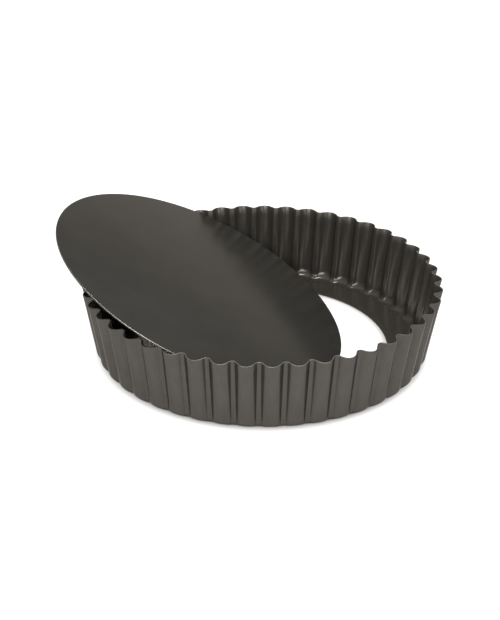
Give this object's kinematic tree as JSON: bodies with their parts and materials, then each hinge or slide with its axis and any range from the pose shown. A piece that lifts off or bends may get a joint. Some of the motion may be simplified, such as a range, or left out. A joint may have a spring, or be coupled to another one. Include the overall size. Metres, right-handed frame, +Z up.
{
  "type": "fluted tart pan with loose base",
  "caption": "Deep round fluted tart pan: a pressed ring with an inward ledge and a flat loose base that leans in it.",
  "frame": {"origin": "under the middle of the whole object, leaning base included, at the height of the table that the ring stands on", "axes": "+Z up along the ring's axis; -X is the way the leaning base climbs out of the ring; the XZ plane divides ring and base into mirror halves"},
  "size_m": [0.2563, 0.2412, 0.089],
  "materials": {
    "ring_coating": "satin dark grey non-stick coating on steel sheet, a thin bare line on the cut rim",
    "base_coating": "smooth satin dark grey non-stick coating on a flat steel disc, bare on its cut edge"
  },
  "bodies": {
    "ring": {"fluted_ring": "ring_coating"},
    "base": {"loose_base": "base_coating"}
  },
  "joints": [
    {"name": "base_lift", "type": "slide", "parent": "ring", "child": "base", "axis": [0, 0, 1], "range_m": [0, 0.08]}
  ]
}
